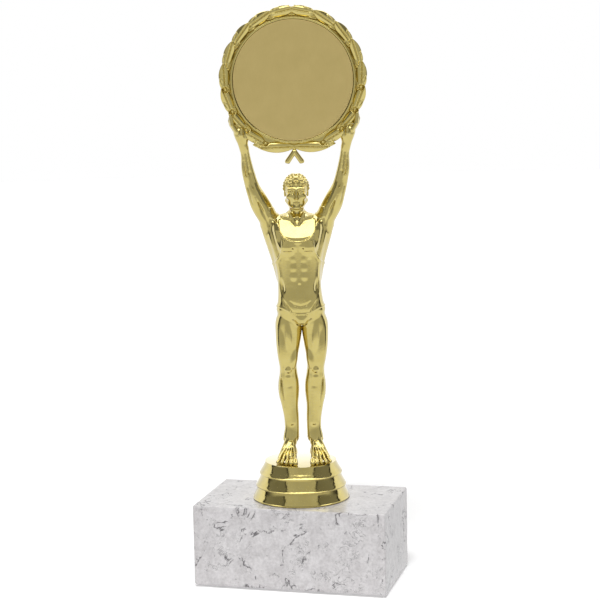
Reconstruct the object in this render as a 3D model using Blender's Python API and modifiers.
"""Sports award: a gold plastic athlete on a round stepped riser, holding up a laurel wreath with a blank
50 mm disc, and bolted through a marble block.

Frame: the origin is the centre of the underside, +Z is up and the block's front face looks towards -Y.
The figure assembly turns about the threaded rod, which stands on the Z axis, and is turned a little
towards +X. Its own pieces are placed in millimetres above the block's top, facing -Y before that turn.
"""

import math

import bmesh
import bpy
from mathutils import Matrix, Vector

MM = 0.001
GAP = 0.3 * MM
ROUND_STEPS = 40

# Marble block
BLOCK_WIDTH = 84 * MM
BLOCK_DEPTH = 48 * MM
BLOCK_TOP = 36 * MM
BLOCK_BEVEL = 0.7 * MM
ROD_HOLE_RADIUS = 3.6 * MM
POCKET_RADIUS = 11 * MM
POCKET_DEPTH = 12 * MM
PAD_RADIUS = 5 * MM
PAD_THICK = 0.8 * MM
PAD_INSET = 14 * MM

# M6 hardware
ROD_RADIUS = 3 * MM
ROD_BOTTOM = 3 * MM
ROD_REACH = 12 * MM
NUT_ACROSS_FLATS = 10 * MM
NUT_THICK = 5 * MM
NUT_BORE = 3.1 * MM
WASHER_RADIUS = 9 * MM
WASHER_THICK = 1.6 * MM
LOCK_RADIUS = 5.9 * MM
LOCK_THICK = 1.6 * MM
LOCK_SPLIT = 1.2 * MM

# Riser, with its heights above the block's top
RISER_HEIGHT = 16.4 * MM
RISER_RINGS = ((15.4 * MM, 17.9 * MM), (17.4 * MM, 19.6 * MM), (19.1 * MM, 21.0 * MM))
RISER_STEP = 5.4 * MM
RISER_LIP = 0.8 * MM
RISER_WALL = 1.6 * MM
BOSS_RADIUS = 7.6 * MM
BOSS_ROOF = 13 * MM
PEG_RADIUS = 1.5 * MM
PEG_LENGTH = 3 * MM
PEG_X = 5.2 * MM
PEG_Y = -2.2 * MM

# Wreath and emblem, with depths measured forward from the wreath's back
FIGURE_TURN = math.radians(15)
WREATH_Z = 179.4 * MM
WREATH_BACK_Y = -1.7 * MM
PLATE_THICK = 1.2 * MM
RIM_INNER = 25.45 * MM
RIM_OUTER = 27.6 * MM
RIM_DEPTH = 3.5 * MM
LEAF_RING = 28.3 * MM
LEAF_SIZE = (4.6 * MM, 1.9 * MM, 1.35 * MM)
LEAF_TILT = math.radians(16)
LEAVES_A_SIDE = 9
STEM_RADIUS = 1.0 * MM
WREATH_REACH = 30.9 * MM
DISC_RADIUS = 25.15 * MM
DISC_THICK = 0.8 * MM
ADHESIVE_RADIUS = 23.5 * MM
ADHESIVE_THICK = 0.5 * MM

# Figure
PARTING_Y = 0.8 * MM
FEET_SHIFT = 1.4 * MM
SKIN_VOXEL = 0.6 * MM
SKIN_KEEP = 0.06
CORE_KEEP = 0.03

GOLD_COLOUR = (0.76, 0.62, 0.27, 1)
SATIN_COLOUR = (0.60, 0.50, 0.27, 1)
MARBLE_COLOUR = (0.80, 0.79, 0.80, 1)
STEEL_COLOUR = (0.62, 0.62, 0.63, 1)
FELT_COLOUR = (0.05, 0.12, 0.07, 1)
FOAM_COLOUR = (0.85, 0.85, 0.82, 1)


def clear_scene():
    for old in list(bpy.data.objects):
        bpy.data.objects.remove(old, do_unlink=True)


def make_collection(name):
    group = bpy.data.collections.new(name)
    bpy.context.scene.collection.children.link(group)
    return group


def make_material(name, colour, roughness, metallic):
    material = bpy.data.materials.new(name)
    material.use_nodes = True
    shader = material.node_tree.nodes["Principled BSDF"]
    shader.inputs["Base Color"].default_value = colour
    shader.inputs["Roughness"].default_value = roughness
    shader.inputs["Metallic"].default_value = metallic
    return material


def object_from(name, mesh, group, material=None):
    made = bpy.data.objects.new(name, mesh)
    group.objects.link(made)
    if material:
        mesh.materials.append(material)
    return made


def object_from_bmesh(name, shape, group, material=None):
    mesh = bpy.data.meshes.new(name)
    bmesh.ops.recalc_face_normals(shape, faces=shape.faces)
    shape.to_mesh(mesh)
    shape.free()
    return object_from(name, mesh, group, material)


def box(name, low, high, group, material=None):
    size = Vector(high) - Vector(low)
    centre = (Vector(high) + Vector(low)) / 2
    shape = bmesh.new()
    bmesh.ops.create_cube(shape, size=1, matrix=Matrix.Translation(centre) @ Matrix.Diagonal((*size, 1)))
    return object_from_bmesh(name, shape, group, material)


def cylinder(name, radius, bottom, top, group, material=None, steps=ROUND_STEPS, x=0.0, y=0.0):
    shape = bmesh.new()
    place = Matrix.Translation((x, y, (bottom + top) / 2))
    bmesh.ops.create_cone(
        shape, cap_ends=True, segments=steps, radius1=radius, radius2=radius, depth=top - bottom, matrix=place
    )
    return object_from_bmesh(name, shape, group, material)


def turned(name, profile, group, material=None):
    """A body turned about Z from a profile of (radius, height), listed down its outer side.

    The profile is closed into a ring, unless it starts and ends on the axis."""
    mesh = bpy.data.meshes.new(name)
    count = len(profile)
    edges = [(i, i + 1) for i in range(count - 1)]
    if profile[0][0] > 0:
        edges.append((count - 1, 0))
    mesh.from_pydata([(r, 0, z) for r, z in profile], edges, [])
    made = object_from(name, mesh, group, material)
    screw = made.modifiers.new("turn", "SCREW")
    screw.steps = ROUND_STEPS
    screw.render_steps = ROUND_STEPS
    screw.use_merge_vertices = True
    screw.merge_threshold = 0.01 * MM
    return made


def boolean(target, other, operation):
    step = target.modifiers.new(operation.lower(), "BOOLEAN")
    step.operation = operation
    step.object = other
    return step


def baked(made, name=None):
    """The object with its modifiers worked into its mesh."""
    graph = bpy.context.evaluated_depsgraph_get()
    mesh = bpy.data.meshes.new_from_object(made.evaluated_get(graph))
    mesh.name = name or made.name
    made.modifiers.clear()
    made.data = mesh
    return made


def hide_cutters(group):
    for cutter in group.objects:
        cutter.hide_render = True
        cutter.display_type = "WIRE"


def shade(made):
    made.data.shade_smooth()
    made.data.set_sharp_from_angle(angle=math.radians(35))


def hexagon(name, centre_z, group, material, across=NUT_ACROSS_FLATS, thick=NUT_THICK):
    return cylinder(
        name, across / math.sqrt(3), centre_z - thick / 2, centre_z + thick / 2, group, material, steps=6
    )


# ---- block, pads and hardware ---------------------------------------------------------------------------


def make_block(parts, cutters, material):
    bottom = PAD_THICK + GAP
    block = box(
        "marble_block",
        (-BLOCK_WIDTH / 2, -BLOCK_DEPTH / 2, bottom),
        (BLOCK_WIDTH / 2, BLOCK_DEPTH / 2, BLOCK_TOP),
        parts,
        material,
    )
    bevel = block.modifiers.new("edges", "BEVEL")
    bevel.width = BLOCK_BEVEL
    bevel.segments = 2
    hole = cylinder("rod_hole", ROD_HOLE_RADIUS, 0, BLOCK_TOP + GAP, cutters)
    pocket = cylinder("hardware_pocket", POCKET_RADIUS, 0, bottom + POCKET_DEPTH, cutters)
    boolean(block, hole, "DIFFERENCE")
    boolean(block, pocket, "DIFFERENCE")
    return block


def make_pads(parts, material):
    x = BLOCK_WIDTH / 2 - PAD_INSET
    y = BLOCK_DEPTH / 2 - PAD_INSET
    corners = {
        "pad_front_left": (-x, -y),
        "pad_front_right": (x, -y),
        "pad_back_left": (-x, y),
        "pad_back_right": (x, y),
    }
    return [
        cylinder(name, PAD_RADIUS, 0, PAD_THICK, parts, material, steps=24, x=px, y=py)
        for name, (px, py) in corners.items()
    ]


def make_hardware(parts, cutters, material):
    """The rod, and under the block the flat washer, the split lock washer and the nut that clamp it."""
    washer_top = PAD_THICK + GAP + POCKET_DEPTH - GAP
    lock_top = washer_top - WASHER_THICK - GAP
    nut_top = lock_top - LOCK_THICK - GAP
    bore = NUT_BORE + GAP

    rod = cylinder("threaded_rod", ROD_RADIUS, ROD_BOTTOM, BLOCK_TOP + ROD_REACH, parts, material)

    washer = ring("flat_washer", bore, WASHER_RADIUS, washer_top - WASHER_THICK, washer_top, parts, material)
    lock = ring("lock_washer", bore, LOCK_RADIUS, lock_top - LOCK_THICK, lock_top, parts, material)
    split = box(
        "lock_split",
        (0, -LOCK_SPLIT / 2, lock_top - LOCK_THICK - GAP),
        (LOCK_RADIUS + GAP, LOCK_SPLIT / 2, lock_top + GAP),
        cutters,
    )
    boolean(lock, split, "DIFFERENCE")

    nut = hexagon("clamp_nut", nut_top - NUT_THICK / 2, parts, material)
    nut_bore = cylinder("clamp_nut_bore", NUT_BORE, nut_top - NUT_THICK - GAP, nut_top + GAP, cutters)
    boolean(nut, nut_bore, "DIFFERENCE")
    return [rod, washer, lock, nut]


def ring(name, inner, outer, bottom, top, group, material):
    return turned(name, [(outer, top), (outer, bottom), (inner, bottom), (inner, top)], group, material)


# ---- riser ----------------------------------------------------------------------------------------------


def riser_profile():
    """Three flared rings, each overhanging the one below, around a hollow with a boss for the nut."""
    outer = [(0, RISER_HEIGHT)]
    top = RISER_HEIGHT
    for upper, lower in RISER_RINGS:
        bottom = max(top - RISER_STEP, GAP)
        middle = upper * 0.6 + lower * 0.4
        outer += [(upper, top), (middle, (top + bottom) / 2), (lower, bottom + RISER_LIP), (lower, bottom)]
        top = bottom
    roof = RISER_HEIGHT - RISER_WALL
    inner = [
        (RISER_RINGS[2][1] - RISER_WALL, GAP),
        (RISER_RINGS[1][0] - RISER_WALL, RISER_STEP),
        (RISER_RINGS[0][0] - RISER_WALL, roof),
        (BOSS_RADIUS, roof),
        (BOSS_RADIUS, GAP),
        (ROD_RADIUS + GAP, GAP),
        (ROD_RADIUS + GAP, BOSS_ROOF),
        (0, BOSS_ROOF),
    ]
    return outer + inner


def make_riser(parts, cutters, gold, steel):
    riser = turned("riser", riser_profile(), parts, gold)
    baked(riser)

    nut_z = GAP * 2 + NUT_THICK / 2
    pocket = hexagon(
        "nut_pocket", nut_z - GAP, cutters, None, NUT_ACROSS_FLATS + 2 * GAP, NUT_THICK + 4 * GAP
    )
    boolean(riser, pocket, "DIFFERENCE")
    for side in (-1, 1):
        hole = cylinder(
            f"peg_hole_{side + 1}",
            PEG_RADIUS + GAP,
            RISER_HEIGHT - PEG_LENGTH,
            RISER_HEIGHT + GAP,
            cutters,
            steps=16,
            x=side * PEG_X + FEET_SHIFT,
            y=PEG_Y,
        )
        boolean(riser, hole, "DIFFERENCE")
    baked(riser)

    nut = hexagon("captive_nut", nut_z, parts, steel)
    bore = cylinder("captive_nut_bore", NUT_BORE, 0, NUT_THICK + 4 * GAP, cutters)
    boolean(nut, bore, "DIFFERENCE")
    baked(nut)
    return [riser, nut]


# ---- wreath and emblem ----------------------------------------------------------------------------------


def lean(z):
    """How far towards +X the figure stands at a height: its feet are off the axis, its wreath is on it."""
    return FEET_SHIFT * (WREATH_Z - z) / (WREATH_Z - RISER_HEIGHT)


def upright(made):
    """Stands a body that was turned about Z on its edge, its +Z towards the front, at the wreath's place."""
    place = Matrix.Translation((0, WREATH_BACK_Y, WREATH_Z))
    made.data.transform(place @ Matrix.Rotation(math.pi / 2, 4, "X"))


def leaf(name, angle, tilt, size, group):
    """A flattened ball on the wreath's ring, its length along the ring and tilted outward."""
    shape = bmesh.new()
    bmesh.ops.create_uvsphere(shape, u_segments=10, v_segments=6, radius=1)
    centre = Vector((LEAF_RING * math.cos(angle), LEAF_RING * math.sin(angle), RIM_DEPTH * 0.62))
    turn = Matrix.Rotation(angle + math.pi / 2 + tilt, 4, "Z")
    placed = Matrix.Translation(centre) @ turn @ Matrix.Diagonal((*size, 1))
    bmesh.ops.transform(shape, matrix=placed, verts=shape.verts)
    return object_from_bmesh(name, shape, group)


def make_wreath(parts, cutters, material):
    """A dish with a raised rim, nine leaves running up each side and two stems crossed below."""
    profile = [
        (0, PLATE_THICK),
        (RIM_INNER, PLATE_THICK),
        (RIM_INNER, RIM_DEPTH),
        (RIM_INNER + 0.8 * MM, RIM_DEPTH),
        (RIM_OUTER, RIM_DEPTH - 1.2 * MM),
        (RIM_OUTER + 1.2 * MM, 1.0 * MM),
        (RIM_OUTER, 0),
        (0, 0),
    ]
    wreath = turned("wreath_frame", profile, parts, material)
    wreath.data.flip_normals()
    baked(wreath)
    leaves = make_collection("wreath_leaves")
    step = math.pi / LEAVES_A_SIDE
    for side in (-1, 1):
        for i in range(LEAVES_A_SIDE):
            angle = -math.pi / 2 + side * step * (i + 0.5)
            leaf(f"leaf_{side + 1}_{i}", angle, -side * LEAF_TILT, LEAF_SIZE, leaves)
        stem = Clay()
        top, end = mm(side * 5, -27, 1.6), mm(-side * 3, -33, 1.6)
        stem.limb(top, STEM_RADIUS, end, STEM_RADIUS, 8)
        stem.finish(f"stem_{side + 1}", leaves)
    union = wreath.modifiers.new("leaves", "BOOLEAN")
    union.operation = "UNION"
    union.operand_type = "COLLECTION"
    union.collection = leaves
    baked(wreath)
    for used in list(leaves.objects):
        bpy.data.objects.remove(used, do_unlink=True)
    bpy.data.collections.remove(leaves)
    upright(wreath)
    return wreath


def make_emblem(parts, satin, foam):
    adhesive_back = PLATE_THICK + GAP
    disc_back = adhesive_back + ADHESIVE_THICK + GAP
    adhesive = cylinder(
        "emblem_adhesive", ADHESIVE_RADIUS, adhesive_back, adhesive_back + ADHESIVE_THICK, parts, foam
    )
    disc = cylinder("emblem_disc", DISC_RADIUS, disc_back, disc_back + DISC_THICK, parts, satin, steps=64)
    for made in (adhesive, disc):
        upright(made)
    return [adhesive, disc]


# ---- figure ---------------------------------------------------------------------------------------------


class Clay:
    """Overlapping balls and limbs in one mesh, to be joined into one skin."""

    def __init__(self):
        self.shape = bmesh.new()

    def ball(self, centre, radii, segments=24):
        matrix = Matrix.Translation(centre) @ Matrix.Diagonal((*radii, 1))
        bmesh.ops.create_uvsphere(
            self.shape, u_segments=segments, v_segments=segments // 2, radius=1, matrix=matrix
        )

    def limb(self, start, start_radius, end, end_radius, segments=16):
        """A tapered rod with round ends."""
        start, end = Vector(start), Vector(end)
        run = end - start
        matrix = Matrix.Translation((start + end) / 2) @ run.to_track_quat("Z", "Y").to_matrix().to_4x4()
        bmesh.ops.create_cone(
            self.shape,
            cap_ends=True,
            segments=segments,
            radius1=start_radius,
            radius2=end_radius,
            depth=run.length,
            matrix=matrix,
        )
        self.ball(start, (start_radius,) * 3, segments)
        self.ball(end, (end_radius,) * 3, segments)

    def finish(self, name, group, material=None):
        return object_from_bmesh(name, self.shape, group, material)


def mm(*values):
    return tuple(value * MM for value in values)


def add_leg(clay, side):
    ankle, knee, hip = mm(side * 4.8, 1.6, 27), mm(side * 5.9, 0.6, 53), mm(side * 5.6, 0.5, 73)
    clay.ball(mm(side * 4.9, 2.6, 19.4), mm(2.6, 2.9, 3.0))
    clay.limb(mm(side * 4.8, 1.4, 24), 2.8 * MM, mm(side * 5.9, -6.5, 18.8), 2.2 * MM)
    clay.ball(mm(side * 6.1, -7.8, 18.0), mm(3.1, 4.6, 1.9))
    clay.limb(ankle, 2.8 * MM, mm(side * 5.4, 1.8, 40), 3.6 * MM)
    clay.ball(mm(side * 5.6, 2.2, 46), mm(4.5, 4.5, 10))
    clay.limb(mm(side * 5.6, 1.4, 44), 3.8 * MM, knee, 3.7 * MM)
    clay.limb(knee, 3.7 * MM, mm(side * 5.8, 0.3, 63), 4.6 * MM)
    clay.limb(mm(side * 5.8, 0.3, 63), 4.7 * MM, hip, 5.5 * MM)


def add_torso(clay):
    clay.ball(mm(0, 0.8, 79), mm(10.2, 7.4, 8.5))
    for side in (-1, 1):
        clay.ball(mm(side * 4.6, 4.4, 77), mm(5.0, 4.4, 6.5))
        clay.ball(mm(side * 5.2, -4.4, 115), mm(5.2, 3.4, 4.6))
        clay.limb(mm(side * 9.0, 1.5, 112), 4.0 * MM, mm(side * 12.4, 1.2, 120), 4.0 * MM)
        clay.limb(mm(side * 3.0, 1.6, 123), 2.6 * MM, mm(side * 11.5, 1.0, 122), 3.2 * MM)
    clay.ball(mm(0, 0.2, 93), mm(8.7, 6.5, 16))
    clay.ball(mm(0, 0.2, 110), mm(12.2, 7.4, 13))


def add_arm(clay, side):
    shoulder, elbow = mm(side * 13.8, 0.6, 121), mm(side * 19.2, -0.5, 137)
    wrist = mm(side * 21.4, -2.5, 152.5)
    clay.ball(mm(side * 13.4, 0.6, 120.5), mm(4.4, 4.6, 5.2))
    clay.limb(shoulder, 4.0 * MM, mm(side * 16.4, 0.1, 129), 3.5 * MM)
    clay.limb(mm(side * 16.4, 0.1, 129), 3.5 * MM, elbow, 2.6 * MM)
    clay.ball(mm(side * 19.9, -1.0, 141), mm(2.5, 2.5, 5.5))
    clay.limb(elbow, 2.6 * MM, wrist, 1.7 * MM)
    clay.ball(mm(side * 23.2, -3.2, 156.5), mm(2.9, 3.7, 4.6))
    clay.limb(mm(side * 23.6, -3.4, 156), 2.4 * MM, mm(side * 26.4, -3.4, 162), 2.0 * MM)


def add_head(clay):
    clay.limb(mm(0, 1.4, 118), 3.4 * MM, mm(0, 0.6, 128), 3.1 * MM)
    clay.ball(mm(0, 0.5, 133.8), mm(5.2, 6.3, 6.3))
    clay.ball(mm(0, -1.4, 129.6), mm(4.0, 4.6, 4.3))
    clay.limb(mm(0, -5.6, 132.2), 0.6 * MM, mm(0, -6.2, 130.6), 0.9 * MM, 8)


def add_core(clay):
    """The hollow inside both half shells: chest, belly and thighs."""
    clay.ball(mm(0, 0.4, 110), mm(10.2, 5.4, 10.5))
    clay.ball(mm(0, 0.4, 94), mm(6.8, 4.6, 15))
    clay.ball(mm(0, 1.0, 79.5), mm(8.2, 5.4, 6.6))
    for side in (-1, 1):
        clay.limb(mm(side * 5.6, 0.6, 75), 3.8 * MM, mm(side * 5.8, 0.5, 60), 2.7 * MM)


def skinned(clay, name, group, keep):
    """Joins the clay into one closed skin, thins its faces out and gives it the figure's lean."""
    body = clay.finish(name, group)
    remesh = body.modifiers.new("join", "REMESH")
    remesh.mode = "VOXEL"
    remesh.voxel_size = SKIN_VOXEL
    smooth = body.modifiers.new("smooth", "SMOOTH")
    smooth.iterations = 2
    thin = body.modifiers.new("thin", "DECIMATE")
    thin.ratio = keep
    baked(body)
    for point in body.data.vertices:
        point.co.x += lean(point.co.z)
    return body


def make_figure(parts, cutters, material):
    """Front and back half shells of one body, glued at the parting plane; the front one has the hands."""
    skin = Clay()
    for side in (-1, 1):
        add_leg(skin, side)
        add_arm(skin, side)
    add_torso(skin)
    add_head(skin)
    body = skinned(skin, "figure_skin", cutters, SKIN_KEEP)

    core = Clay()
    add_core(core)
    hollow = skinned(core, "figure_core", cutters, CORE_KEEP)

    reach = 60 * MM
    soles = RISER_HEIGHT + GAP
    slot_back, slot_front = -1.1 * MM - GAP, RIM_DEPTH + 0.4 * MM + GAP
    slot = cylinder("wreath_slot", WREATH_REACH, slot_back, slot_front, cutters, steps=96)
    upright(slot)
    front_edge, back_edge = PARTING_Y - GAP / 2, PARTING_Y + GAP / 2
    spaces = {
        "figure_front": box("front_space", (-reach, -reach, soles), (reach, front_edge, 4 * reach), cutters),
        "figure_back": box("back_space", (-reach, back_edge, soles), (reach, reach, 4 * reach), cutters),
    }
    made = []
    for name, space in spaces.items():
        half = object_from(name, body.data.copy(), parts, material)
        boolean(half, hollow, "DIFFERENCE")
        boolean(half, slot, "DIFFERENCE")
        boolean(half, space, "INTERSECT")
        made.append(half)
    for side in (-1, 1):
        peg = cylinder(
            f"peg_{side + 1}",
            PEG_RADIUS,
            soles - PEG_LENGTH,
            soles + 1.5 * MM,
            cutters,
            steps=16,
            x=side * PEG_X + FEET_SHIFT,
            y=PEG_Y,
        )
        boolean(made[0], peg, "UNION")
    for half in made:
        baked(half)
    return made


def main():
    clear_scene()
    parts = make_collection("athlete_trophy")
    cutters = make_collection("cutters")
    gold = make_material("gold_plastic", GOLD_COLOUR, 0.18, 1.0)
    satin = make_material("emblem_satin", SATIN_COLOUR, 0.45, 0.8)
    marble = make_material("marble", MARBLE_COLOUR, 0.2, 0.0)
    steel = make_material("steel", STEEL_COLOUR, 0.35, 1.0)
    felt = make_material("felt", FELT_COLOUR, 0.95, 0.0)
    foam = make_material("foam", FOAM_COLOUR, 0.8, 0.0)

    make_block(parts, cutters, marble)
    make_pads(parts, felt)
    make_hardware(parts, cutters, steel)

    assembly = make_riser(parts, cutters, gold, steel)
    assembly += make_figure(parts, cutters, gold)
    assembly.append(make_wreath(parts, cutters, gold))
    assembly += make_emblem(parts, satin, foam)

    swivel = bpy.data.objects.new("figure_swivel", None)
    swivel.location = (0, 0, BLOCK_TOP)
    swivel.rotation_euler = (0, 0, FIGURE_TURN)
    bpy.context.scene.collection.objects.link(swivel)
    for piece in assembly:
        piece.parent = swivel

    for piece in parts.objects:
        if not piece.modifiers:
            shade(piece)
    hide_cutters(cutters)


main()
